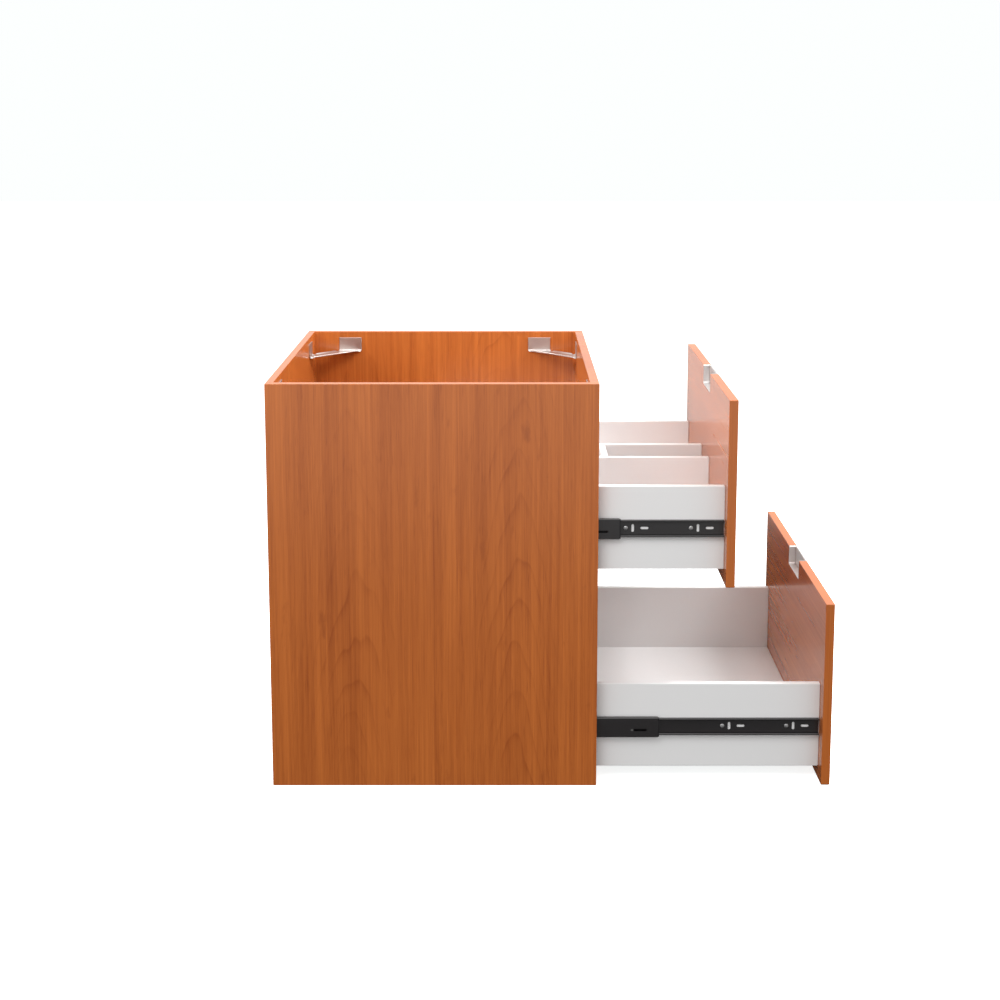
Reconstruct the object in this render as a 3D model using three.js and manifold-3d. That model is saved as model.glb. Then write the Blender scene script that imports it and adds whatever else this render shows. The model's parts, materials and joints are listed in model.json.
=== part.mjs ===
// Wall-hung bathroom vanity cabinet with two full-width drawers, both standing part open.
// Millimetres, +Z up. The origin is the centre of the carcass underside.
// +Y is the wall, the drawers open towards -Y, and +X is the cabinet's right-hand side.

import * as THREE from 'three';
import { mergeVertices } from 'three/addons/utils/BufferGeometryUtils.js';
import Module from 'manifold-3d';

const wasm = await Module();
wasm.setup();

// Carcass: the top is open, because the washbasin closes it.
const cabinetWidth = 600;
const cabinetDepth = 545;
const cabinetHeight = 688;
const boardThickness = 15;
const backThickness = 12.5;
const topRailHeight = 80;
const middleRailHeight = 60;
const middleRailBottom = 301;

// Sheet steel braces across the four top corners of the carcass
const braceThickness = 1.5;
const braceNearEdge = 50;
const braceFarEdge = 94;
const braceDrop = 12;
const braceTabHeight = 28;

// Drawer fronts, which cover the whole carcass front, and their finger pulls
const frontHeight = 316;
const frontClearance = 2;
const notchWidth = 100;
const notchDepth = 35;
const pullSheet = 2;
const pullFace = 3;

// Drawer boxes
const drawerDepth = 500;
const drawerBoard = 12;
const drawerBottomBoard = 6;
const drawerBottomLift = 15;
const slideSpace = 12.5;

// Upper drawer: two dividers leave a middle lane, whose rear part is cut out for the drain pipe.
const laneWidth = 95;
const recessFromFront = 180;

// Three-member ball-bearing slides
const slideLength = 500;
const slideSetback = 2;
const runnerLength = 450;
const runnerClosedFront = -222.5;
const outerCageLength = 250;
const outerCageClosedFront = -160;
const innerCageLength = 120;
const innerCageClosedFront = -70;
const drawerMemberSetback = 1.5;
const drawerMemberLength = 498;

// How far each sliding piece moves for each millimetre of drawer travel
const runnerRatio = 0.41;
const outerCageRatio = runnerRatio / 2;
const innerCageRatio = (1 + runnerRatio) / 2;

// Heights of each drawer's pieces above the carcass underside, and how far it stands open
const drawers = [
  {
    name: 'upper', frontBottom: 345, boxBottom: 369, boxHeight: 142, slideCentre: 440, opened: 209.5,
    hasPipeRecess: true,
  },
  {
    name: 'lower', frontBottom: 1, boxBottom: 23, boxHeight: 146, slideCentre: 95, opened: 376.75,
    hasPipeRecess: false,
  },
];

// Fixing holes in a drawer member, measured from the drawer front's inner face
const fixingGroups = [0, 108.5, 345];
const levelSlotAt = 25;
const uprightSlotAt = 44.5;
const screwAt = 56.25;
const slotLength = 13.5;
const slotWidth = 4.5;
const screwHole = 4.5;
const screwedGroups = 2;

const halfWidth = cabinetWidth / 2;
const innerHalfWidth = halfWidth - boardThickness;
const boxHalfWidth = innerHalfWidth - slideSpace;
const frontY = -cabinetDepth / 2;
const wallY = cabinetDepth / 2;
const backInnerY = wallY - backThickness;
const sides = [{ name: 'left', sign: -1 }, { name: 'right', sign: 1 }];

// Sections of the slide members as [distance from the cabinet side, height from the slide centre].
// Only the part above the centre line is listed, from the web's inner face round to its outer face.
const cabinetMemberHalf = [[1.25, 21.25], [8.25, 21.25], [8.25, 19.5], [9.5, 19.5], [9.5, 22.5], [0, 22.5]];
const outerCageHalf = [[2, 17.5], [7.5, 17.5], [7.5, 21], [1.5, 21]];
const runnerHalf = [[3.25, 16.125], [9.5, 16.125], [9.5, 17.125], [3, 17.125], [2.25, 16.375]];
const innerCageHalf = [[4, 14.5], [6.75, 14.5], [6.75, 13], [9.25, 13], [9.25, 15.875], [3.5, 15.875]];
const endCapHalf = [[4.5, 14.375], [9, 14.375], [9, 16.125], [3.25, 16.125]];
const drawerMemberHalf = [
  [11.25, 12.75], [11, 12.75], [10, 11.5], [6, 11.5], [5, 12.75], [4.5, 12.75],
  [4.5, 14], [5.5, 14], [6.5, 12.75], [9.5, 12.75], [10.5, 14], [12.5, 14],
];
const endCapLength = 5;
const endCapOverhang = 2;

const finishes = {
  wood: { color: 0xb5652f, roughness: 0.42, metalness: 0 },
  whiteBoard: { color: 0xf1ecea, roughness: 0.35, metalness: 0 },
  zincSteel: { color: 0xc9c6c4, roughness: 0.32, metalness: 1 },
  pullMetal: { color: 0xd3d0ce, roughness: 0.24, metalness: 1 },
  blackSteel: { color: 0x2b282a, roughness: 0.38, metalness: 0.6 },
  cageSteel: { color: 0x9a9a98, roughness: 0.4, metalness: 1 },
  blackPlastic: { color: 0x181718, roughness: 0.5, metalness: 0 },
};

function material(finish) {
  return new THREE.MeshStandardMaterial(finishes[finish]);
}

function addPiece(group, name, finish, geometry) {
  const mesh = new THREE.Mesh(geometry, material(finish));
  mesh.name = name;
  group.add(mesh);
  return mesh;
}

// A plain board between two corners, placed by its centre.
function addBoard(group, name, finish, [x0, x1], [y0, y1], [z0, z1]) {
  const mesh = addPiece(group, name, finish, new THREE.BoxGeometry(x1 - x0, y1 - y0, z1 - z0));
  mesh.position.set((x0 + x1) / 2, (y0 + y1) / 2, (z0 + z1) / 2);
  return mesh;
}

function between(a, b) {
  return [Math.min(a, b), Math.max(a, b)];
}

function block([x0, x1], [y0, y1], [z0, z1]) {
  const geometry = new THREE.BoxGeometry(x1 - x0, y1 - y0, z1 - z0);
  return geometry.translate((x0 + x1) / 2, (y0 + y1) / 2, (z0 + z1) / 2);
}

function toSolid(geometry) {
  const bare = geometry.clone();
  bare.deleteAttribute('normal');
  bare.deleteAttribute('uv');
  const welded = mergeVertices(bare);
  return new wasm.Manifold(new wasm.Mesh({
    numProp: 3,
    vertProperties: new Float32Array(welded.attributes.position.array),
    triVerts: new Uint32Array(welded.index.array),
  }));
}

function toGeometry(solid) {
  const mesh = solid.getMesh();
  const geometry = new THREE.BufferGeometry();
  geometry.setAttribute('position', new THREE.BufferAttribute(mesh.vertProperties, 3));
  geometry.setIndex(new THREE.BufferAttribute(mesh.triVerts, 1));
  geometry.computeVertexNormals();
  return geometry;
}

function cut(body, tools) {
  return toGeometry(tools.reduce((solid, tool) => solid.subtract(toSolid(tool)), toSolid(body)));
}

function join(first, others) {
  return toGeometry(others.reduce((solid, other) => solid.add(toSolid(other)), toSolid(first)));
}

// Touching faces meet exactly when they lie on a quarter-millimetre grid.
function onGrid(value) {
  return Math.round(value * 4) / 4;
}

function outline(points) {
  return new THREE.Shape(points.map(([x, y]) => new THREE.Vector2(x, y)));
}

// A slot with round ends. At angle 0 it lies along the shape's first axis.
function slotOutline(length, width, angle = 0) {
  const reach = (length - width) / 2;
  const [x, y] = [reach * Math.cos(angle), reach * Math.sin(angle)];
  const quarter = Math.PI / 2;
  const shape = new THREE.Shape();
  shape.absarc(x, y, width / 2, angle - quarter, angle + quarter, false);
  shape.absarc(-x, -y, width / 2, angle + quarter, angle + 3 * quarter, false);
  return shape;
}

function roundHole(diameter) {
  return new THREE.Shape().absarc(0, 0, diameter / 2, 0, 2 * Math.PI, false);
}

// Carries a section in X and Z along Y, from yFront to yFront + length.
function extrudeAlongY(points, yFront, length) {
  const geometry = new THREE.ExtrudeGeometry(outline(points), { depth: length, bevelEnabled: false });
  geometry.rotateX(Math.PI / 2);
  return geometry.translate(0, yFront + length, 0);
}

// A slide section for one side of the cabinet, mirrored below the centre line.
function slideSection(half, side) {
  const lowerHalf = half.toReversed().map(([reach, height]) => [reach, -height]);
  return [...half, ...lowerHalf].map(([reach, height]) => [side.sign * (innerHalfWidth - reach), height]);
}

// A cutter along X through a slide web, centred on y at the slide centre height.
function webCutter(shape, side, reach, y) {
  const depth = 6;
  const geometry = new THREE.ExtrudeGeometry(shape, { depth, bevelEnabled: false, curveSegments: 4 });
  geometry.translate(0, 0, -depth / 2);
  geometry.rotateX(Math.PI / 2);
  geometry.rotateZ(Math.PI / 2);
  return geometry.translate(side.sign * (innerHalfWidth - reach), y, 0);
}

function makeCarcass() {
  const carcass = new THREE.Group();
  const fullHeight = [0, cabinetHeight];
  const innerX = [-innerHalfWidth, innerHalfWidth];
  const railY = [frontY, frontY + boardThickness];
  const middleRailZ = [middleRailBottom, middleRailBottom + middleRailHeight];
  for (const side of sides) {
    const across = between(side.sign * halfWidth, side.sign * innerHalfWidth);
    addBoard(carcass, `side_panel_${side.name}`, 'wood', across, [frontY, wallY], fullHeight);
  }
  addBoard(carcass, 'back_panel', 'wood', innerX, [backInnerY, wallY], fullHeight);
  addBoard(carcass, 'bottom_panel', 'wood', innerX, [frontY, backInnerY], [0, boardThickness]);
  addBoard(carcass, 'top_rail', 'wood', innerX, railY, [cabinetHeight - topRailHeight, cabinetHeight]);
  addBoard(carcass, 'middle_rail', 'wood', innerX, railY, middleRailZ);
  return carcass;
}

// One brace: a level strap across the corner, with an upright tab against each wall.
function braceGeometry(cornerX, cornerY, inwardX, inwardY) {
  const tabTop = cabinetHeight - braceDrop;
  const strapBottom = tabTop - braceTabHeight;
  const place = (alongX, alongY) => [cornerX + inwardX * alongX, cornerY + inwardY * alongY];
  const strapOutline = outline([
    place(braceNearEdge, 0), place(braceFarEdge, 0), place(0, braceFarEdge), place(0, braceNearEdge),
  ]);
  const strap = new THREE.ExtrudeGeometry(strapOutline, { depth: braceThickness, bevelEnabled: false });
  strap.translate(0, 0, strapBottom);
  const span = (corner, inward, near, far) => between(corner + inward * near, corner + inward * far);
  const tabZ = [strapBottom, tabTop];
  const tabOnEndWall = block(
    span(cornerX, inwardX, braceNearEdge, braceFarEdge), span(cornerY, inwardY, 0, braceThickness), tabZ,
  );
  const tabOnSide = block(
    span(cornerX, inwardX, 0, braceThickness), span(cornerY, inwardY, braceNearEdge, braceFarEdge), tabZ,
  );
  return join(strap, [tabOnEndWall, tabOnSide]);
}

function makeBraces() {
  const braces = new THREE.Group();
  const ends = [
    { name: 'front', wall: frontY + boardThickness, inward: 1 },
    { name: 'back', wall: backInnerY, inward: -1 },
  ];
  for (const end of ends) {
    for (const side of sides) {
      const geometry = braceGeometry(side.sign * innerHalfWidth, end.wall, -side.sign, end.inward);
      addPiece(braces, `corner_brace_${end.name}_${side.name}`, 'zincSteel', geometry);
    }
  }
  return braces;
}

// Drawer groups have Y = 0 at the inner face of the front, so the front itself lies at negative Y.
function addFrontAndPull(group, drawer) {
  const top = drawer.frontBottom + frontHeight;
  const notchX = [-notchWidth / 2, notchWidth / 2];
  const thickness = [-boardThickness, 0];
  const panel = block([-halfWidth, halfWidth], thickness, [drawer.frontBottom, top]);
  const notch = block(notchX, [-boardThickness - 5, 5], [top - notchDepth, top + 5]);
  addPiece(group, `${drawer.name}_drawer_front`, 'wood', cut(panel, [notch]));

  const pullBlock = block(notchX, thickness, [top - notchDepth, top]);
  const fingerSpace = block(
    [notchX[0] + pullSheet, notchX[1] - pullSheet],
    [-boardThickness + pullFace, 5],
    [top - notchDepth + pullSheet, top + 5],
  );
  addPiece(group, `${drawer.name}_finger_pull`, 'pullMetal', cut(pullBlock, [fingerSpace]));
}

function addBoxSides(group, drawer) {
  const heights = [drawer.boxBottom, drawer.boxBottom + drawer.boxHeight];
  for (const side of sides) {
    const across = between(side.sign * boxHalfWidth, side.sign * (boxHalfWidth - drawerBoard));
    addBoard(group, `${drawer.name}_drawer_side_${side.name}`, 'whiteBoard', across,
      [0, drawerDepth], heights);
  }
}

function addPlainInside(group, drawer) {
  const inner = boxHalfWidth - drawerBoard;
  const backY = drawerDepth - drawerBoard;
  const bottomZ = drawer.boxBottom + drawerBottomLift;
  addBoard(group, `${drawer.name}_drawer_back`, 'whiteBoard', [-inner, inner], [backY, drawerDepth],
    [drawer.boxBottom, drawer.boxBottom + drawer.boxHeight]);
  addBoard(group, `${drawer.name}_drawer_bottom`, 'whiteBoard', [-inner, inner], [0, backY],
    [bottomZ, bottomZ + drawerBottomBoard]);
}

// The upper drawer's bottom is U-shaped and its back is in two parts, so that the drain pipe passes through.
function addInsideWithPipeRecess(group, drawer) {
  const inner = boxHalfWidth - drawerBoard;
  const lane = laneWidth / 2;
  const backY = drawerDepth - drawerBoard;
  const recessY = recessFromFront + drawerBoard;
  const top = drawer.boxBottom + drawer.boxHeight;
  const bottomZ = drawer.boxBottom + drawerBottomLift;
  const floorZ = bottomZ + drawerBottomBoard;
  const sheet = block([-inner, inner], [0, backY], [bottomZ, floorZ]);
  const pipeSlot = block([-lane, lane], [recessY, backY + 5], [bottomZ - 5, floorZ + 5]);
  addPiece(group, `${drawer.name}_drawer_bottom`, 'whiteBoard', cut(sheet, [pipeSlot]));
  addBoard(group, `${drawer.name}_drawer_recess_panel`, 'whiteBoard', [-lane, lane],
    [recessFromFront, recessY], [floorZ, top]);
  for (const side of sides) {
    const laneFace = side.sign * lane;
    const bayFace = side.sign * (lane + drawerBoard);
    const outerFace = side.sign * inner;
    addBoard(group, `${drawer.name}_drawer_divider_${side.name}`, 'whiteBoard', between(laneFace, bayFace),
      [0, drawerDepth], [floorZ, top]);
    addBoard(group, `${drawer.name}_drawer_back_${side.name}`, 'whiteBoard', between(bayFace, outerFace),
      [backY, drawerDepth], [drawer.boxBottom, top]);
  }
}

// A pan-head screw on the Y axis of its own geometry, laid along X with its head towards the cabinet side.
function screwGeometry(side) {
  const shank = 1.75;
  const head = 3.5;
  const web = 1.25;
  const profile = outline([
    [0, 0], [shank, 0], [shank, web], [head, web], [head, web + 1], [head - 1, web + 2], [0, web + 2],
  ]).getPoints();
  const geometry = new THREE.LatheGeometry(profile, 12);
  return geometry.rotateZ(side.sign < 0 ? Math.PI / 2 : -Math.PI / 2);
}

// The drawer member of a slide, with its fixing slots and screws, in the drawer group.
function addDrawerMember(group, drawer, side) {
  const section = slideSection(drawerMemberHalf, side);
  const channel = extrudeAlongY(section, drawerMemberSetback, drawerMemberLength);
  const tools = fixingGroups.flatMap((start) => [
    webCutter(slotOutline(slotLength, slotWidth), side, slideSpace, start + levelSlotAt),
    webCutter(slotOutline(slotLength, slotWidth, Math.PI / 2), side, slideSpace, start + uprightSlotAt),
    webCutter(roundHole(screwHole), side, slideSpace, start + screwAt),
  ]);
  const memberName = `${drawer.name}_slide_drawer_member_${side.name}`;
  const member = addPiece(group, memberName, 'blackSteel', cut(channel, tools));
  member.position.z = drawer.slideCentre;
  fixingGroups.slice(0, screwedGroups).forEach((start, index) => {
    const name = `${drawer.name}_slide_screw_${side.name}_${index + 1}`;
    const screw = addPiece(group, name, 'zincSteel', screwGeometry(side));
    screw.position.set(side.sign * boxHalfWidth, start + screwAt, drawer.slideCentre);
  });
}

function makeDrawer(drawer) {
  const group = new THREE.Group();
  group.position.y = frontY - frontClearance - drawer.opened;
  addFrontAndPull(group, drawer);
  addBoxSides(group, drawer);
  if (drawer.hasPipeRecess) {
    addInsideWithPipeRecess(group, drawer);
  } else {
    addPlainInside(group, drawer);
  }
  for (const side of sides) {
    addDrawerMember(group, drawer, side);
  }
  return group;
}

// The slide pieces that stay on the cabinet or travel by part of the drawer's stroke.
function makeSlide(drawer, side) {
  const slide = new THREE.Group();
  slide.position.z = drawer.slideCentre;
  const label = (piece) => `${drawer.name}_slide_${piece}_${side.name}`;
  const place = (closedFront, ratio) => onGrid(closedFront - ratio * drawer.opened);

  addPiece(slide, label('cabinet_member'), 'blackSteel',
    extrudeAlongY(slideSection(cabinetMemberHalf, side), frontY + slideSetback, slideLength));

  const outerCageY = place(outerCageClosedFront, outerCageRatio);
  addPiece(slide, label('outer_ball_cage'), 'cageSteel',
    extrudeAlongY(slideSection(outerCageHalf, side), outerCageY, outerCageLength));

  const innerCageY = place(innerCageClosedFront, innerCageRatio);
  addPiece(slide, label('inner_ball_cage'), 'cageSteel',
    extrudeAlongY(slideSection(innerCageHalf, side), innerCageY, innerCageLength));

  addRunner(slide, label, side, place(runnerClosedFront, runnerRatio));
  return slide;
}

// The middle member with the slot of its stop, and the plastic cap in its front end.
function addRunner(slide, label, side, frontEnd) {
  const stopSlotLength = 27;
  const stopSlotWidth = 4;
  const stopSlotAt = 19 + stopSlotLength / 2;
  const stopSlotDrop = 4;
  const runnerWeb = 2.75;
  const channel = extrudeAlongY(slideSection(runnerHalf, side), frontEnd, runnerLength);
  const stopOutline = slotOutline(stopSlotLength, stopSlotWidth);
  const stopSlot = webCutter(stopOutline, side, runnerWeb, frontEnd + stopSlotAt);
  stopSlot.translate(0, 0, -stopSlotDrop);
  addPiece(slide, label('runner'), 'blackSteel', cut(channel, [stopSlot]));
  addPiece(slide, label('runner_cap'), 'blackPlastic',
    extrudeAlongY(slideSection(endCapHalf, side), frontEnd - endCapOverhang, endCapLength));
}

const vanityCabinet = new THREE.Group();
vanityCabinet.add(makeCarcass(), makeBraces());
for (const drawer of drawers) {
  vanityCabinet.add(makeDrawer(drawer));
  for (const side of sides) {
    vanityCabinet.add(makeSlide(drawer, side));
  }
}

export default vanityCabinet;
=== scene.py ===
import bpy
import bmesh
import json
import math
import numpy as np
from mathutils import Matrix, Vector


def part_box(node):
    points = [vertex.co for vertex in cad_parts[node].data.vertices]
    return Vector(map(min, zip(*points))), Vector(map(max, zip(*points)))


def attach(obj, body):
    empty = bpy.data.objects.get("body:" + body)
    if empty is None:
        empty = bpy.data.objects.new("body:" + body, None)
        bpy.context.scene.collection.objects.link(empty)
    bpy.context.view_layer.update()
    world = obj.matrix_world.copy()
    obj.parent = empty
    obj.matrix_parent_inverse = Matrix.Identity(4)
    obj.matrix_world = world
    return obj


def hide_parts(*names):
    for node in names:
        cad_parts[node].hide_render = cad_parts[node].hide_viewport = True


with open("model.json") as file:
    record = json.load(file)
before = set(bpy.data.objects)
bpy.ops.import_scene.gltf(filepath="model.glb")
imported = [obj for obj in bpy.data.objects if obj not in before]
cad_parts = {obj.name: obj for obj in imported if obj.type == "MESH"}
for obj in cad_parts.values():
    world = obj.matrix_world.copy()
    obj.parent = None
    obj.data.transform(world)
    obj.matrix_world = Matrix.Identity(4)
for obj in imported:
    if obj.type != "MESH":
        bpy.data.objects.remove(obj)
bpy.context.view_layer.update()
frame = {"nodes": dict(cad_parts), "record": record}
scene = bpy.context.scene
scene.view_settings.view_transform = "Standard"
print("frame loaded:", len(frame["nodes"]), "nodes")


# ---- camera ----

cameraSettings = {
    "place": (-2.840, -0.120, 1.1465),  # metres, on the cabinet's left-hand side
    "pitch": 8.47,  # degrees below the horizon
    "lens": 57.22,  # mm
    "sensor": 36.0,  # mm
    "shiftSide": -0.0058,
    "shiftUp": -0.165,
    "farClip": 60.0,
}


def makeCamera(settings):
    data = bpy.data.cameras.new("viewCamera")
    data.sensor_width = settings["sensor"]
    data.lens = settings["lens"]
    data.shift_x = settings["shiftSide"]
    data.shift_y = settings["shiftUp"]
    data.clip_end = settings["farClip"]
    camera = bpy.data.objects.new("viewCamera", data)
    scene.collection.objects.link(camera)
    pitch = math.radians(settings["pitch"])
    ahead = Vector((math.cos(pitch), 0.0, -math.sin(pitch)))
    camera.location = settings["place"]
    camera.rotation_euler = ahead.to_track_quat("-Z", "Y").to_euler()
    scene.camera = camera


makeCamera(cameraSettings)
print("camera set")


# ---- node helpers for materials ----

def startMaterial(name, roughness, metallic=0.0, ior=1.45):
    material = bpy.data.materials.new(name)
    material.use_nodes = True
    tree = material.node_tree
    shader = tree.nodes["Principled BSDF"]
    shader.inputs["Roughness"].default_value = roughness
    shader.inputs["Metallic"].default_value = metallic
    shader.inputs["IOR"].default_value = ior
    return material, tree, shader


def addNode(tree, kind, values=None, **settings):
    node = tree.nodes.new(kind)
    for key, value in settings.items():
        setattr(node, key, value)
    for key, value in (values or {}).items():
        if isinstance(value, bpy.types.NodeSocket):
            tree.links.new(value, node.inputs[key])
        else:
            node.inputs[key].default_value = value
    return node


def maths(tree, operation, first, second=0.0, third=0.0):
    node = addNode(tree, "ShaderNodeMath", {0: first, 1: second, 2: third}, operation=operation)
    return node.outputs[0]


def mixColour(tree, factor, first, second):
    node = addNode(tree, "ShaderNodeMix", data_type="RGBA")
    for socket, value in zip((node.inputs[0], node.inputs[6], node.inputs[7]), (factor, first, second)):
        if isinstance(value, bpy.types.NodeSocket):
            tree.links.new(value, socket)
        else:
            socket.default_value = value
    return node.outputs[2]


def remap(tree, value, low, high, toLow=0.0, toHigh=1.0):
    values = {"Value": value, "From Min": low, "From Max": high, "To Min": toLow, "To Max": toHigh}
    return addNode(tree, "ShaderNodeMapRange", values).outputs[0]


def stretchedNoise(tree, parts, noise):
    # parts are the across, through and along coordinates; cells are counted per metre in each
    scaled = [maths(tree, "MULTIPLY", part, cells) for part, cells in zip(parts, noise["cells"])]
    vector = addNode(tree, "ShaderNodeCombineXYZ", dict(enumerate(scaled))).outputs[0]
    values = {"Vector": vector, "Scale": 1.0, "Detail": noise["detail"], "Roughness": noise["roughness"]}
    return addNode(tree, "ShaderNodeTexNoise", values).outputs[0]


def bump(tree, shader, height, strength, distance):
    node = addNode(tree, "ShaderNodeBump", {"Height": height, "Strength": strength, "Distance": distance})
    tree.links.new(node.outputs[0], shader.inputs["Normal"])


def assign(piece, material):
    piece.data.materials.clear()
    piece.data.materials.append(material)


# ---- cherry board ----

cherry = {
    "light": (0.545, 0.152, 0.030, 1.0),
    "dark": (0.335, 0.078, 0.015, 1.0),
    "streak": (0.225, 0.046, 0.011, 1.0),
    "ior": 1.55,
    "roughness": 0.20,
    "roughnessWander": (-0.02, 0.04),
    "leafWidth": 0.2725,  # the veneer repeats in leaves of this width, metres
    "leafShift": 3.71,  # how far each leaf moves on through the pattern
    "leafDip": 0.0137,  # how much deeper each leaf's pith lies
    "pithDepth": 0.080,
    "pithSlope": 0.115,
    "sway": 0.050,  # sideways bend of the growth rings, metres
    "drift": 0.028,  # their bend in depth
    "ringSpacing": 0.0092,
    "ringSharpness": 7.0,
    "ringFade": 0.93,  # share of a ring's width at which its dark line starts to fade
    "baseTone": 0.10,
    "ringTone": 0.80,
    "ringShareUnmarked": 0.3,  # share of the rings that a board without marks keeps
    "knotTone": 0.45,
    "fleckTone": 0.36,
    "fleckRelief": -0.4,
    "toneLimit": 0.9,
    "toneLimitMarked": 0.5,  # what full marks add to the limit
    "bumpStrength": 0.012,
    "bumpDistance": 0.0003,
    "noises": {
        # cells per metre across, through and along the grain
        "sway": {"cells": (3.0, 1.0, 2.6), "detail": 2.0, "roughness": 0.55},
        "drift": {"cells": (14.0, 1.0, 3.0), "detail": 2.0, "roughness": 0.55},
        "broken": {"cells": (90.0, 1.0, 16.0), "detail": 2.0, "roughness": 0.55},
        "patch": {"cells": (5.0, 1.0, 4.0), "detail": 1.0, "roughness": 0.55},
        "band": {"cells": (42.0, 1.0, 0.7), "detail": 5.0, "roughness": 0.62},
        "line": {"cells": (210.0, 10.0, 3.2), "detail": 4.0, "roughness": 0.62},
        "fibre": {"cells": (620.0, 20.0, 9.0), "detail": 3.0, "roughness": 0.65},
        "fleck": {"cells": (640.0, 20.0, 26.0), "detail": 1.0, "roughness": 0.55},
        "cloud": {"cells": (9.0, 1.0, 3.0), "detail": 3.0, "roughness": 0.55},
        "knot": {"cells": (30.0, 1.0, 11.0), "detail": 4.0, "roughness": 0.55},
        "endFibre": {"cells": (700.0, 700.0, 5.0), "detail": 3.0, "roughness": 0.55},
    },
    "ranges": {
        # a low and a high value, then what each of them becomes
        "crown": (0.020, 0.075, 1.0, 0.28),
        "broken": (0.32, 0.60, 0.35, 1.0),
        "patch": (0.38, 0.58, 0.25, 1.0),
        "fleck": (0.58, 0.72, 0.0, 1.0),
        "fleckInBand": (0.42, 0.58, 0.25, 1.0),
        "knot": (0.64, 0.76, 0.0, 1.0),
        "band": (0.30, 0.70, 0.0, 0.56),
        "line": (0.25, 0.75, -0.33, 0.33),
        "fibre": (0.25, 0.75, -0.20, 0.20),
        "cloud": (0.25, 0.75, -0.14, 0.14),
        "facing": (0.6, 0.8, 0.0, 1.0),
        "endFibre": (0.25, 0.75, 0.10, 0.55),
    },
}


def cherryMaterial(name, order, centre, seed, marks):
    # order names the object axes that run across the grain, through the board and along the grain;
    # marks scales the knots, flecks and growth rings
    ranges = cherry["ranges"]
    material, tree, shader = startMaterial(name, cherry["roughness"], ior=cherry["ior"])
    place = addNode(tree, "ShaderNodeTexCoord").outputs["Object"]
    split = addNode(tree, "ShaderNodeSeparateXYZ", {0: place})
    axes = [split.outputs["xyz".index(letter)] for letter in order]
    across, through, along = [maths(tree, "SUBTRACT", axis, offset) for axis, offset in zip(axes, centre)]

    # leaf number, and the distance across from that leaf's own centre
    leaves = maths(tree, "DIVIDE", across, cherry["leafWidth"])
    leaf = maths(tree, "FLOOR", leaves)
    inLeaf = maths(tree, "SUBTRACT", maths(tree, "SUBTRACT", leaves, leaf), 0.5)
    local = maths(tree, "MULTIPLY", inLeaf, cherry["leafWidth"])
    own = maths(tree, "ADD", maths(tree, "MULTIPLY", leaf, cherry["leafShift"]), seed)
    shifted = maths(tree, "ADD", through, own)

    def leafNoise(layer):
        return stretchedNoise(tree, (local, shifted, along), cherry["noises"][layer])

    def boardNoise(layer):
        return stretchedNoise(tree, (across, shifted, along), cherry["noises"][layer])

    def bend(layer):
        # half the bend to either side
        return maths(tree, "MULTIPLY_ADD", leafNoise(layer), cherry[layer], -cherry[layer] / 2)

    # growth rings: distance from a pith line that dips along the board, bent by slow noise
    centred = maths(tree, "ADD", local, bend("sway"))
    dip = maths(tree, "MULTIPLY_ADD", along, cherry["pithSlope"], cherry["pithDepth"])
    dip = maths(tree, "MULTIPLY_ADD", leaf, cherry["leafDip"], dip)
    depth = maths(tree, "ADD", dip, bend("drift"))
    radius = maths(tree, "SQRT", maths(
        tree, "ADD", maths(tree, "MULTIPLY", centred, centred), maths(tree, "MULTIPLY", depth, depth)))
    turn = maths(tree, "FRACT", maths(tree, "DIVIDE", radius, cherry["ringSpacing"]))
    ring = maths(tree, "POWER", turn, cherry["ringSharpness"])  # slow darkening, then a quick return
    fade = maths(tree, "SUBTRACT", 1.0, remap(tree, turn, cherry["ringFade"], 1.0))
    crown = remap(tree, maths(tree, "ABSOLUTE", centred), *ranges["crown"])
    ringLine = maths(tree, "MULTIPLY", maths(tree, "MULTIPLY", ring, fade), crown)
    for layer in ("broken", "patch"):
        ringLine = maths(tree, "MULTIPLY", ringLine, remap(tree, leafNoise(layer), *ranges[layer]))

    # bands, fibres, flecks and knots drawn out along the grain
    band = leafNoise("band")
    line = boardNoise("line")
    fibre = boardNoise("fibre")
    cloud = boardNoise("cloud")
    inBand = remap(tree, band, *ranges["fleckInBand"])
    fleckMask = maths(tree, "MULTIPLY", remap(tree, boardNoise("fleck"), *ranges["fleck"]), inBand)
    knotMask = remap(tree, leafNoise("knot"), *ranges["knot"])

    ringShare = cherry["ringShareUnmarked"] + (1.0 - cherry["ringShareUnmarked"]) * marks
    tone = maths(tree, "MULTIPLY_ADD", ringLine, cherry["ringTone"] * ringShare, cherry["baseTone"])
    for layer, value in (("band", band), ("line", line), ("fibre", fibre), ("cloud", cloud)):
        tone = maths(tree, "ADD", tone, remap(tree, value, *ranges[layer]))

    # a sawn or banded end shows short plain fibres instead of the figure
    normal = addNode(tree, "ShaderNodeNewGeometry").outputs["Normal"]
    facing = addNode(tree, "ShaderNodeSeparateXYZ", {0: normal}).outputs["xyz".index(order[2])]
    isEnd = remap(tree, maths(tree, "ABSOLUTE", facing), *ranges["facing"])
    onFace = maths(tree, "SUBTRACT", 1.0, isEnd)
    endFibre = stretchedNoise(tree, (through, along, across), cherry["noises"]["endFibre"])
    endTone = remap(tree, endFibre, *ranges["endFibre"])
    tone = maths(tree, "ADD", maths(tree, "MULTIPLY", tone, onFace), maths(tree, "MULTIPLY", endTone, isEnd))
    tone = maths(tree, "MINIMUM", tone, cherry["toneLimit"] + cherry["toneLimitMarked"] * marks)
    colour = mixColour(tree, tone, cherry["light"], cherry["dark"])
    for mask, strength in ((knotMask, cherry["knotTone"]), (fleckMask, cherry["fleckTone"])):
        share = maths(tree, "MULTIPLY", maths(tree, "MULTIPLY", mask, onFace), strength * marks)
        colour = mixColour(tree, share, colour, cherry["streak"])
    tree.links.new(colour, shader.inputs["Base Color"])

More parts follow.
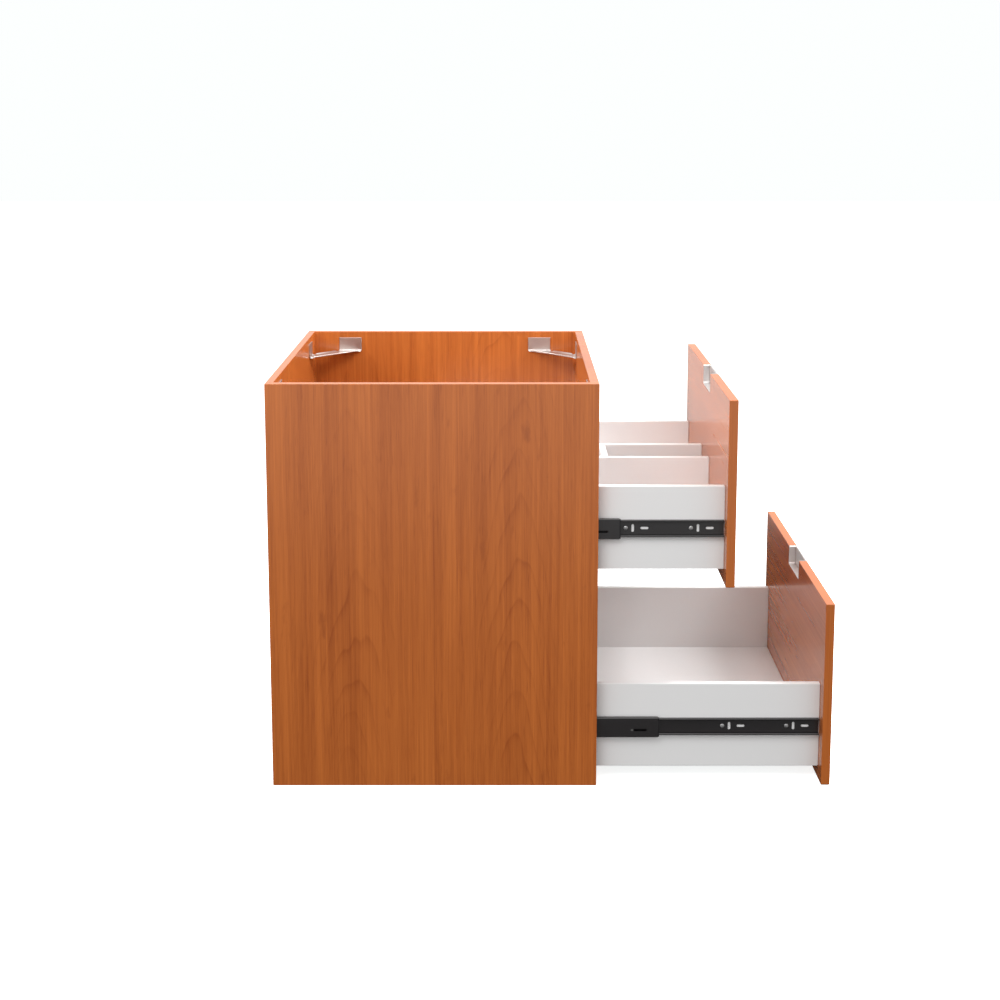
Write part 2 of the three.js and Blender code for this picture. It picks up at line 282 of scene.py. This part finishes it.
    glossiest, dullest = [cherry["roughness"] + wander for wander in cherry["roughnessWander"]]
    tree.links.new(remap(tree, fibre, 0.2, 0.8, glossiest, dullest), shader.inputs["Roughness"])
    height = maths(tree, "MULTIPLY_ADD", fleckMask, cherry["fleckRelief"] * marks, fibre)
    bump(tree, shader, height, cherry["bumpStrength"] * marks, cherry["bumpDistance"])
    return material


# ---- white board, metals and plastic ----

plainFinish = {
    "metallic": 0.0, "ior": 1.45, "gloss": 0.13, "stretch": (1.0, 1.0, 1.0),
    "cloudDetail": 3.0, "grainDetail": 2.0, "bumpDistance": 0.0002,
}

# brushed metals take their noise scale from stretch, in cells per metre along each axis
brushedFinish = {
    **plainFinish, "metallic": 1.0, "spread": 0.16,
    "cloudScale": 1.0, "cloudDetail": 4.0, "grainScale": 1.0, "bumpStrength": 0.06,
}

finishes = {
    # faint orange peel of a sprayed or foiled board
    "whiteBoard": {
        **plainFinish, "colour": (0.800, 0.800, 0.800, 1.0), "roughness": 0.30, "spread": 0.012,
        "gloss": 0.02, "cloudScale": 9.0, "grainScale": 420.0, "bumpStrength": 0.05, "bumpDistance": 0.0003,
    },
    # zinc steel: its grey is the plating's own colour, and its warm tint is painted reflection of the orange
    # cherry walls that the braces face
    "zincSteel": {
        **brushedFinish, "colour": (0.60, 0.54, 0.515, 1.0), "roughness": 0.36,
        "stretch": (240.0, 240.0, 1400.0),
    },
    "screwSteel": {
        **brushedFinish, "colour": (0.52, 0.52, 0.52, 1.0), "roughness": 0.50,
        "stretch": (500.0, 500.0, 500.0),
    },
    "pullMetal": {
        **brushedFinish, "colour": (0.76, 0.74, 0.73, 1.0), "roughness": 0.40,
        "stretch": (60.0, 900.0, 900.0),
    },
    "cageSteel": {
        **brushedFinish, "colour": (0.30, 0.30, 0.29, 1.0), "roughness": 0.42,
        "stretch": (900.0, 40.0, 900.0),
    },
    "ballSteel": {
        **brushedFinish, "colour": (0.62, 0.62, 0.63, 1.0), "roughness": 0.12,
        "stretch": (300.0, 300.0, 300.0),
    },
    "blackSteel": {
        **plainFinish, "colour": (0.0125, 0.0105, 0.0115, 1.0), "roughness": 0.30, "ior": 1.75,
        "spread": 0.30, "gloss": 0.04, "cloudScale": 60.0, "grainScale": 1800.0, "bumpStrength": 0.12,
    },
    "blackPlastic": {
        **plainFinish, "colour": (0.016, 0.015, 0.016, 1.0), "roughness": 0.48, "spread": 0.3,
        "cloudScale": 90.0, "grainScale": 2600.0, "grainDetail": 1.0, "bumpStrength": 0.2,
    },
    "paleFloor": {
        **plainFinish, "colour": (0.90, 0.915, 0.912, 1.0), "roughness": 0.75, "spread": 0.01,
        "cloudScale": 2.0, "bumpStrength": 0.0,
    },
}


def objectNoise(tree, scale, detail, stretch):
    place = addNode(tree, "ShaderNodeTexCoord").outputs["Object"]
    mapped = addNode(tree, "ShaderNodeMapping", {"Vector": place, "Scale": stretch}).outputs[0]
    values = {"Vector": mapped, "Scale": scale, "Detail": detail}
    return addNode(tree, "ShaderNodeTexNoise", values).outputs[0]


def finishMaterial(name):
    # colour and roughness wander with a broad noise, by the shares spread and gloss; a fine noise is the bump
    settings = finishes[name]
    colour, roughness, gloss = settings["colour"], settings["roughness"], settings["gloss"]
    material, tree, shader = startMaterial(name, roughness, settings["metallic"], settings["ior"])
    cloud = objectNoise(tree, settings["cloudScale"], settings["cloudDetail"], settings["stretch"])
    darker = tuple(part * (1.0 - settings["spread"]) for part in colour[:3]) + (1.0,)
    tree.links.new(mixColour(tree, cloud, colour, darker), shader.inputs["Base Color"])
    rough = remap(tree, cloud, 0.3, 0.7, roughness * (1.0 - gloss), roughness * (1.0 + gloss))
    tree.links.new(rough, shader.inputs["Roughness"])
    if settings["bumpStrength"]:
        grain = objectNoise(tree, settings["grainScale"], settings["grainDetail"], settings["stretch"])
        bump(tree, shader, grain, settings["bumpStrength"], settings["bumpDistance"])
    return material


woodSettings = {
    # material name, its order of axes, the pattern's centre in metres, seed, marks
    "side": ("cherrySide", "yxz", (0.0, 0.0, 0.27), 0.0, 1.0),
    "sideFar": ("cherrySideFar", "yxz", (0.03, 0.0, 0.62), 1.9, 1.0),
    "back": ("cherryBack", "xyz", (0.0, 0.0, 0.30), 4.3, 1.0),
    "rail": ("cherryRail", "zyx", (0.60, 0.0, -0.10), 6.1, 1.0),
    "upperFront": ("cherryUpperFront", "zyx", (0.364, 0.0, 0.05), 8.7, 0.2),
    "lowerFront": ("cherryLowerFront", "zyx", (0.022, 0.0, -0.12), 11.2, 0.2),
    "bottom": ("cherryBottom", "yzx", (0.02, 0.0, 0.0), 13.8, 1.0),
}
woods = {wood: cherryMaterial(*settings) for wood, settings in woodSettings.items()}
whiteBoard = finishMaterial("whiteBoard")
zincSteel = finishMaterial("zincSteel")
screwSteel = finishMaterial("screwSteel")
pullMetal = finishMaterial("pullMetal")
cageSteel = finishMaterial("cageSteel")
ballSteel = finishMaterial("ballSteel")
blackSteel = finishMaterial("blackSteel")
blackPlastic = finishMaterial("blackPlastic")
print("materials made")


# ---- surfaces ----

def meshPiece(name, points, faces, body, material, smooth=False):
    mesh = bpy.data.meshes.new(name)
    mesh.from_pydata(np.asarray(points).reshape(-1, 3).tolist(), [], faces)
    work = bmesh.new()
    work.from_mesh(mesh)
    bmesh.ops.remove_doubles(work, verts=work.verts, dist=1e-7)
    bmesh.ops.recalc_face_normals(work, faces=work.faces)
    work.to_mesh(mesh)
    work.free()
    mesh.polygons.foreach_set("use_smooth", np.full(len(mesh.polygons), smooth))
    piece = bpy.data.objects.new(name, mesh)
    scene.collection.objects.link(piece)
    assign(piece, material)
    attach(piece, body)
    return piece


def gridFaces(rows, columns, first=0, wrapColumns=True):
    # quads between neighbouring rows and columns of a grid numbered row by row
    lastColumn = columns if wrapColumns else columns - 1
    r, c = np.meshgrid(np.arange(rows - 1), np.arange(lastColumn), indexing="ij")
    below, above = r * columns, (r + 1) * columns
    left, right = c, (c + 1) % columns
    quads = np.stack([below + left, below + right, above + right, above + left], axis=-1)
    return (quads.reshape(-1, 4) + first).tolist()


def tubeFaces(rows, columns, first=0):
    # the grid's quads and a face across each end
    last = first + (rows - 1) * columns
    ends = [list(range(start, start + columns)) for start in (first, last)]
    return gridFaces(rows, columns, first) + ends


def cornerRuns(corners, radius, steps):
    # an anchor and an inward move for every outline point, so that anchor + inset * move is the inset
    # outline; outer corners become arcs, inner corners stay single points
    corners = np.asarray(corners, float)
    into = corners - np.roll(corners, 1, axis=0)
    into /= np.linalg.norm(into, axis=1, keepdims=True)
    onward = np.roll(into, -1, axis=0)
    normalIn = np.stack([-into[:, 1], into[:, 0]], axis=1)
    normalOut = np.stack([-onward[:, 1], onward[:, 0]], axis=1)
    outer = into[:, 0] * onward[:, 1] - into[:, 1] * onward[:, 0] > 0
    anchors, moves = [], []
    for corner, first, second, isOuter in zip(corners, normalIn, normalOut, outer):
        if isOuter:
            swing = np.linspace(0.0, math.pi / 2, steps + 1)[:, None]
            ray = -(first * np.cos(swing) + second * np.sin(swing))
            anchors.append(corner + radius * (first + second) + radius * ray)
            moves.append(-ray)
        else:
            anchors.append(corner[None])
            moves.append((first + second)[None])
    return np.concatenate(anchors), np.concatenate(moves)


plateShape = {"steps": 4, "cornerShare": 1.5}  # the outline's corner radius is this many edge radii

easedEdges = {"cherryBoard": 0.0009, "whiteBoard": 0.0011, "recessedBottom": 0.0008, "drawerFront": 0.0010}


def platePoints(corners, low, high, axis, edge):
    # an outline carried through the plate's thickness; near both faces it draws in along a quarter circle
    anchors, moves = cornerRuns(corners, edge * plateShape["cornerShare"], plateShape["steps"])
    swing = np.linspace(0.0, math.pi / 2, plateShape["steps"] + 1)
    inset = edge * (1.0 - np.sin(swing))
    rise = edge * (1.0 - np.cos(swing))
    insets = np.concatenate([inset, inset[::-1]])
    heights = np.concatenate([low + rise, high - rise[::-1]])
    rings = anchors[None] + insets[:, None, None] * moves[None]
    level = np.broadcast_to(heights[:, None, None], rings.shape[:2] + (1,))
    flat = np.concatenate([rings, level], axis=-1)
    return np.take(flat, {"x": (2, 0, 1), "y": (0, 2, 1), "z": (0, 1, 2)}[axis], axis=-1)


def addPlate(node, corners, axis, span, material, edge):
    points = platePoints(corners, span[0], span[1], axis, edge)
    faces = tubeFaces(*points.shape[:2])
    piece = meshPiece(node + "_board", points, faces, bodyOf[node], material)
    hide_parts(node)


def rectangle(lowA, highA, lowB, highB):
    return [(lowA, lowB), (highA, lowB), (highA, highB), (lowA, highB)]


bodyOf = {node: body for body, nodes in frame["record"]["behaviour"]["bodies"].items() for node in nodes}


# ---- plain boards ----

def addBoard(node, material, edge):
    low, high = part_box(node)
    thin = min(range(3), key=lambda k: high[k] - low[k])
    a, b = [k for k in range(3) if k != thin]
    corners = rectangle(low[a], high[a], low[b], high[b])
    addPlate(node, corners, "xyz"[thin], (low[thin], high[thin]), material, edge)


woodBoards = {
    "side_panel_left": "side", "side_panel_right": "sideFar", "back_panel": "back",
    "bottom_panel": "bottom", "top_rail": "rail", "middle_rail": "rail",
}
for node, wood in woodBoards.items():
    addBoard(node, woods[wood], easedEdges["cherryBoard"])

whiteBoards = [
    node for node in frame["nodes"]
    if node.startswith(("upper_drawer_", "lower_drawer_"))
    and not node.endswith("_front") and node != "upper_drawer_bottom"
]
for node in sorted(whiteBoards):
    addBoard(node, whiteBoard, easedEdges["whiteBoard"])
print("boards made:", len(woodBoards) + len(whiteBoards))


# ---- upper drawer bottom, cut out for the drain pipe ----

def addRecessedBottom(node):
    low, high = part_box(node)
    laneLow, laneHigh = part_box("upper_drawer_recess_panel")
    corners = [
        (low.x, low.y), (high.x, low.y), (high.x, high.y), (laneHigh.x, high.y),
        (laneHigh.x, laneHigh.y), (laneLow.x, laneHigh.y), (laneLow.x, high.y), (low.x, high.y),
    ]
    edge = easedEdges["recessedBottom"]
    addPlate(node, corners, "z", (low.z, high.z), whiteBoard, edge)


addRecessedBottom("upper_drawer_bottom")


# ---- drawer fronts and finger pulls ----

pullShape = {
    "sheet": 0.0020,
    "face": 0.0030,
    "bend": 0.0042,
    "bendSteps": 8,
    "rim": 0.0008,
    "rimSteps": 4,
    "lip": 0.0019,  # radius of the rolled lip at the top of each end
    "lipSteps": 9,
    "lipSwell": 0.8,  # how much thicker than the sheet the lip gets
}


def addFront(drawer):
    node = drawer + "_drawer_front"
    low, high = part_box(node)
    pullLow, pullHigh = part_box(drawer + "_finger_pull")
    corners = [
        (low.x, low.z), (high.x, low.z), (high.x, high.z), (pullHigh.x, high.z),
        (pullHigh.x, pullLow.z), (pullLow.x, pullLow.z), (pullLow.x, high.z), (low.x, high.z),
    ]
    edge = easedEdges["drawerFront"]
    addPlate(node, corners, "y", (low.y, high.y), woods[drawer + "Front"], edge)


def bentStrip(low, high, shape):
    # the rim of a tray: down one end, round a bend, along the bottom, round a bend and up the other end
    bend = shape["bend"]
    swing = np.linspace(0.0, math.pi / 2, shape["bendSteps"] + 1)
    left = np.stack([low.x + bend - bend * np.cos(swing), low.z + bend - bend * np.sin(swing)], axis=1)
    leftNormal = np.stack([np.cos(swing), np.sin(swing)], axis=1)
    right = np.stack([high.x - bend + bend * np.sin(swing), low.z + bend - bend * np.cos(swing)], axis=1)
    rightNormal = np.stack([-np.sin(swing), np.cos(swing)], axis=1)
    # the sheet swells into a rolled lip at each top end: half a circle over the lip's height
    turn = np.linspace(0.0, math.pi, shape["lipSteps"])
    drop = shape["lip"] * (1.0 - np.cos(turn))
    swell = 1.0 + shape["lipSwell"] * np.sin(turn)
    lipLeft = np.stack([np.full_like(drop, low.x), high.z - drop], axis=1)
    lipRight = np.stack([np.full_like(drop, high.x), high.z - drop[::-1]], axis=1)
    path = np.concatenate([lipLeft, left, right, lipRight])
    normals = np.concatenate([
        np.tile([1.0, 0.0], (len(drop), 1)), leftNormal, rightNormal, np.tile([-1.0, 0.0], (len(drop), 1))])
    plain = np.ones(len(left) + len(right))
    thickness = np.concatenate([swell, plain, swell[::-1]])[:, None, None]
    outline = rectangle(0.0, shape["sheet"], low.y + shape["face"], high.y)
    section, _ = cornerRuns(outline, shape["rim"], shape["rimSteps"])
    flat = path[:, None] + thickness * section[None, :, :1] * normals[:, None]
    depth = np.broadcast_to(section[None, :, 1:], flat.shape[:2] + (1,))
    return np.concatenate([flat[..., :1], depth, flat[..., 1:]], axis=-1)


def addPull(drawer, shape):
    node = drawer + "_finger_pull"
    low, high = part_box(node)
    strip = bentStrip(low, high, shape)
    outline = rectangle(low.x, high.x, low.z, high.z)
    face = platePoints(outline, low.y, low.y + shape["face"], "y", shape["rim"])
    stripFaces = tubeFaces(*strip.shape[:2])
    faces = stripFaces + tubeFaces(*face.shape[:2], first=strip.shape[0] * strip.shape[1])
    points = np.concatenate([strip.reshape(-1, 3), face.reshape(-1, 3)])
    piece = meshPiece(node + "_tray", points, faces, bodyOf[node], pullMetal)
    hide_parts(node)


for drawer in ("upper", "lower"):
    addFront(drawer)
    addPull(drawer, pullShape)
print("fronts and pulls made")


# ---- corner braces ----

braceShape = {
    "sheet": 0.0015,
    "near": 0.050,  # where the strap's near and far edges meet the walls, from the corner
    "far": 0.094,
    "bend": 0.0035,  # radius where a tab turns up from the strap
    "tabMargin": 0.0006,  # a tab is flat from this far over its bend to this far below its top
    "rimHeight": 0.0020,  # the strap's two long edges turn up by this
    "rimWidth": 0.14,  # share of the strap's width
    "rimStart": 0.004,  # distance from a wall at which the rim starts
    "rimRun": 0.005,  # and over which it rises to its full height
    "gussetHeight": 0.0028,  # pressed bumps in the bend under each tab
    "gussetInset": 0.008,
    "gussetWidth": 0.0022,
    "gussetReach": 0.0045,
    "rows": 45,
    "columns": 81,
    "crowding": 0.75,  # below 1 sets the columns closer together near the bends
}


def bracePoints(cornerX, cornerY, inX, inY, low, high, shape):
    # rows cross the strap from its near to its far edge; columns run from the top of one tab, down round
    # its bend, along the strap and up the other tab. Height over the strap rises near each wall as a
    # quarter circle.
    half = shape["sheet"] / 2
    bend = shape["bend"]
    reach = np.linspace(shape["near"], shape["far"], shape["rows"])[:, None]
    share = np.linspace(-1.0, 1.0, shape["columns"])[None]
    ease = 0.5 + 0.5 * np.sign(share) * np.abs(share) ** shape["crowding"]
    span = reach - 2 * half
    fromX = half + span * (1.0 - ease)
    fromY = half + span * ease
    toWall = np.minimum(fromX, fromY) - half
    lift = bend - np.sqrt(np.maximum(bend ** 2 - np.maximum(bend - toWall, 0.0) ** 2, 0.0))
    across = np.linspace(-1.0, 1.0, shape["rows"])[:, None]
    middle = np.clip((toWall - shape["rimStart"]) / shape["rimRun"], 0.0, 1.0)
    middle = middle * middle * (3.0 - 2.0 * middle)
    edge = np.clip((np.abs(across) - 1.0 + 2 * shape["rimWidth"]) / (2 * shape["rimWidth"]), 0.0, 1.0)
    rim = shape["rimHeight"] * (1.0 - np.cos(math.pi * edge)) / 2 * middle
    fromTabEnd = (reach[-1] - reach[0]) / 2 * (1.0 - np.abs(across)) - shape["gussetInset"]
    gusset = shape["gussetHeight"] * np.exp(
        -(fromTabEnd / shape["gussetWidth"]) ** 2 - (toWall / shape["gussetReach"]) ** 2)
    strapZ = low.z + half + np.maximum(lift, gusset) + rim
    tabTop = np.full((shape["rows"], 1), high.z)
    tabEdge = tabTop - shape["tabMargin"]
    tabFoot = np.full((shape["rows"], 1), low.z + half + bend + shape["tabMargin"])
    x = np.concatenate([fromX[:, :1]] * 3 + [fromX] + [fromX[:, -1:]] * 3, axis=1)
    y = np.concatenate([fromY[:, :1]] * 3 + [fromY] + [fromY[:, -1:]] * 3, axis=1)
    z = np.concatenate([tabTop, tabEdge, tabFoot, strapZ, tabFoot, tabEdge, tabTop], axis=1)
    return np.stack([cornerX + inX * x, cornerY + inY * y, z], axis=-1)


def addBrace(node, shape):
    low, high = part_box(node)
    inX = -1.0 if low.x > 0 else 1.0
    inY = -1.0 if low.y > 0 else 1.0
    cornerX = high.x if inX < 0 else low.x
    cornerY = high.y if inY < 0 else low.y
    points = bracePoints(cornerX, cornerY, inX, inY, low, high, shape)
    faces = gridFaces(*points.shape[:2], wrapColumns=False)
    piece = meshPiece(node + "_sheet", points, faces, "cabinet", zincSteel, smooth=True)
    solid = piece.modifiers.new("sheet", "SOLIDIFY")
    solid.thickness = shape["sheet"]
    solid.offset = 0.0
    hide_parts(node)


braces = [node for node in sorted(frame["nodes"]) if node.startswith("corner_brace")]
for node in braces:
    addBrace(node, braceShape)
print("braces made:", len(braces))


# ---- slides: finishes of the members ----

for node, piece in frame["nodes"].items():
    if "ball_cage" in node:
        assign(piece, cageSteel)
    elif "runner_cap" in node:
        assign(piece, blackPlastic)
    elif "slide_screw" in node:
        assign(piece, zincSteel)
    elif "_slide_" in node:
        assign(piece, blackSteel)
    elif piece.hide_render:
        assign(piece, whiteBoard)


# ---- slides: cross-head screws ----

screwShape = {
    "head": 0.0036,  # radius
    "height": 0.0016,
    "overhang": 1.02,  # radius of the dome's own circle, in head radii
    "roundness": 0.92,  # 1 would bring the dome down to nothing at that circle
    "seat": 0.002,  # how far under the outer face of the screw's box the head stands
    "cross": 0.00055,  # half the width of a bar
    "crossReach": 0.0021,
    "crossDepth": 0.0011,
    "crossSlope": 0.0002,
    "middleRing": 0.02,  # the two smallest rings, in head radii
    "innerRing": 0.1,
    "rings": 12,
    "spokes": 40,
}


def screwPoints(centre, outward, shape):
    # a dome over a disc; inside two crossing bars it is pressed down.
    # Height = dome(radius) - depth(distance from the bars' middle lines).
    rings = np.concatenate([[shape["middleRing"]], np.linspace(shape["innerRing"], 1.0, shape["rings"])])
    radius = shape["head"] * rings[:, None]
    angle = np.linspace(0.0, 2 * math.pi, shape["spokes"], endpoint=False)[None]
    u, v = radius * np.cos(angle), radius * np.sin(angle)
    domeShare = (radius / (shape["head"] * shape["overhang"])) ** 2 * shape["roundness"]
    dome = shape["height"] * np.sqrt(np.maximum(1.0 - domeShare, 0.0))
    bar = np.minimum(np.abs(u), np.abs(v))
    inBar = np.clip((shape["cross"] - bar) / shape["crossSlope"] + 0.5, 0.0, 1.0)
    inside = inBar * (radius < shape["crossReach"])
    height = np.broadcast_to(dome, u.shape) - shape["crossDepth"] * inside
    skirt = np.stack([u[-1], v[-1], np.zeros(shape["spokes"])], axis=-1)[None]
    top = np.concatenate([np.stack([u, v, height], axis=-1), skirt])
    axis = Vector(outward)
    side = axis.orthogonal().normalized()
    up = axis.cross(side)
    basis = np.array([side, up, axis])
    return top @ basis + np.asarray(centre)


def addScrewHead(node, shape):
    low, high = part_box(node)
    outward = 1.0 if low.x > 0 else -1.0
    seat = low.x + shape["seat"] if outward < 0 else high.x - shape["seat"]
    centre = (seat, (low.y + high.y) / 2, (low.z + high.z) / 2)
    points = screwPoints(centre, (outward, 0.0, 0.0), shape)
    faces = tubeFaces(*points.shape[:2])
    head = meshPiece(node + "_head", points, faces, bodyOf[node], screwSteel)
    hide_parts(node)


for node in sorted(frame["nodes"]):
    if "slide_screw" in node:
        addScrewHead(node, screwShape)


# ---- slides: balls in their cages ----

ballShape = {
    "radius": 0.0017,
    "rings": 7,
    "spokes": 10,
    "poleGap": 0.04,  # radians from a pole to the ring that closes it
    "pitch": 0.0105,
    "margin": 0.006,
    "outerReach": 0.01915,  # height of a row over and under the middle of its cage
    "innerReach": 0.01445,
}


def ballRow(low, high, heights, across, shape):
    # latitude rings times meridians, copied along the cage at an even pitch on both its edges
    polar = np.linspace(shape["poleGap"], math.pi - shape["poleGap"], shape["rings"])[:, None]
    turn = np.linspace(0.0, 2 * math.pi, shape["spokes"], endpoint=False)[None]
    ball = shape["radius"] * np.stack(
        [np.sin(polar) * np.cos(turn), np.sin(polar) * np.sin(turn), np.cos(polar) + 0 * turn], axis=-1)
    along = np.arange(low.y + shape["margin"], high.y - shape["margin"], shape["pitch"])
    centres = np.array([(across, y, z) for z in heights for y in along])
    return (centres[:, None, None] + ball[None]).reshape(-1, 3), len(centres)


def addBalls(node, shape):
    low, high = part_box(node)
    middle = (low.z + high.z) / 2
    reach = shape["outerReach"] if "outer" in node else shape["innerReach"]
    across = (low.x + high.x) / 2
    points, count = ballRow(low, high, (middle - reach, middle + reach), across, shape)
    size = shape["rings"] * shape["spokes"]
    faces = sum((tubeFaces(shape["rings"], shape["spokes"], k * size) for k in range(count)), [])
    meshPiece(node + "_balls", points, faces, bodyOf[node], ballSteel, smooth=True)


for node in sorted(frame["nodes"]):
    if "ball_cage" in node:
        addBalls(node, ballShape)
print("slides finished")


# ---- floor, light and surroundings ----

studio = {
    "floorSize": 30.0,
    "floorGlow": 0.88,
    # near is the side that the camera stands on
    "lighting": {"near": 1.07, "far": 1.15, "top": 0.90, "below": 0.03},
    "reflected": {"near": 0.90, "far": 0.85, "top": 1.4, "below": 0.03},
    # parts of a unit direction between which one level turns into the next
    "topBlend": (0.25, 0.9),
    "horizonBlend": (-0.262, -0.238),
    "sideBlend": (-0.5, 0.5),
    "lightColour": (1.0, 0.995, 0.99, 1.0),
    "backdropColour": (0.98, 1.0, 0.995, 1.0),
}

softLights = {
    # place, point it faces, width and height in metres, power in watts
    "aboveDrawers": {
        "place": (0.0, -0.65, 1.9), "faces": (0.0, -0.65, 0.0), "size": (0.5, 0.6), "power": 5.0},
    "highBehind": {
        "place": (0.0, 1.6, 1.9), "faces": (0.0, -0.5, 0.4), "size": (0.5, 0.8), "power": 36.0},
    "highInFront": {
        "place": (0.0, -1.55, 1.9), "faces": (0.0, 0.0, 0.4), "size": (0.5, 0.8), "power": 34.0},
    "lowInFront": {
        "place": (0.0, -2.2, 1.0), "faces": (0.0, 0.0, 0.3), "size": (0.5, 0.8), "power": 14.0},
    "highNear": {
        "place": (-1.40, 0.28, 1.75), "faces": (-0.3, 0.1, 0.5), "size": (0.8, 0.8), "power": 13.0},
    "highFar": {
        "place": (1.7, -0.15, 2.0), "faces": (0.3, -0.15, 0.4), "size": (1.2, 1.2), "power": 5.0},
}


def makeFloor(settings):
    half = settings["floorSize"] / 2
    mesh = bpy.data.meshes.new("studioFloor")
    corners = [(-half, -half, 0.0), (half, -half, 0.0), (half, half, 0.0), (-half, half, 0.0)]
    mesh.from_pydata(corners, [], [(0, 1, 2, 3)])
    floor = bpy.data.objects.new("studioFloor", mesh)
    scene.collection.objects.link(floor)
    material = finishMaterial("paleFloor")
    shader = material.node_tree.nodes["Principled BSDF"]
    shader.inputs["Specular IOR Level"].default_value = 0.0
    shader.inputs["Emission Color"].default_value = finishes["paleFloor"]["colour"]
    shader.inputs["Emission Strength"].default_value = settings["floorGlow"]
    assign(floor, material)
    floor.visible_glossy = False
    floor.visible_diffuse = False


def skyLevel(tree, settings, level):
    # strength by direction: below, then the near or far side, rising to the top
    direction = addNode(tree, "ShaderNodeTexCoord").outputs["Generated"]
    split = addNode(tree, "ShaderNodeSeparateXYZ", {0: direction})
    high = remap(tree, split.outputs[2], *settings["topBlend"])
    above = remap(tree, split.outputs[2], *settings["horizonBlend"])
    side = remap(tree, split.outputs[0], *settings["sideBlend"], level["near"], level["far"])
    upper = maths(tree, "ADD", maths(tree, "MULTIPLY", maths(tree, "SUBTRACT", 1.0, high), side),
                  maths(tree, "MULTIPLY", high, level["top"]))
    return maths(tree, "ADD", maths(tree, "MULTIPLY", above, upper),
                 maths(tree, "MULTIPLY", maths(tree, "SUBTRACT", 1.0, above), level["below"]))


def makeSky(settings):
    # one brightness for lighting and one for reflections; the camera itself sees a plain pale backdrop
    world = bpy.data.worlds.new("studioSky")
    world.use_nodes = True
    scene.world = world
    tree = world.node_tree
    path = addNode(tree, "ShaderNodeLightPath")
    strength = addNode(tree, "ShaderNodeMix", data_type="FLOAT")
    tree.links.new(path.outputs["Is Glossy Ray"], strength.inputs[0])
    tree.links.new(skyLevel(tree, settings, settings["lighting"]), strength.inputs[2])
    tree.links.new(skyLevel(tree, settings, settings["reflected"]), strength.inputs[3])
    lit = addNode(tree, "ShaderNodeBackground", {
        "Color": settings["lightColour"], "Strength": strength.outputs[0]})
    seen = addNode(tree, "ShaderNodeBackground", {"Color": settings["backdropColour"], "Strength": 1.0})
    mix = addNode(tree, "ShaderNodeMixShader", {
        0: path.outputs["Is Camera Ray"], 1: lit.outputs[0], 2: seen.outputs[0]})
    tree.links.new(mix.outputs[0], tree.nodes["World Output"].inputs["Surface"])


def makeLight(name, settings):
    data = bpy.data.lights.new(name, "AREA")
    data.shape = "RECTANGLE"
    data.size, data.size_y = settings["size"]
    data.energy = settings["power"]
    light = bpy.data.objects.new(name, data)
    scene.collection.objects.link(light)
    light.location = settings["place"]
    aim = Vector(settings["faces"]) - Vector(settings["place"])
    light.rotation_euler = aim.to_track_quat("-Z", "Y").to_euler()
    light.visible_camera = False


makeFloor(studio)
makeSky(studio)
for name, settings in softLights.items():
    makeLight(name, settings)
print("studio made")
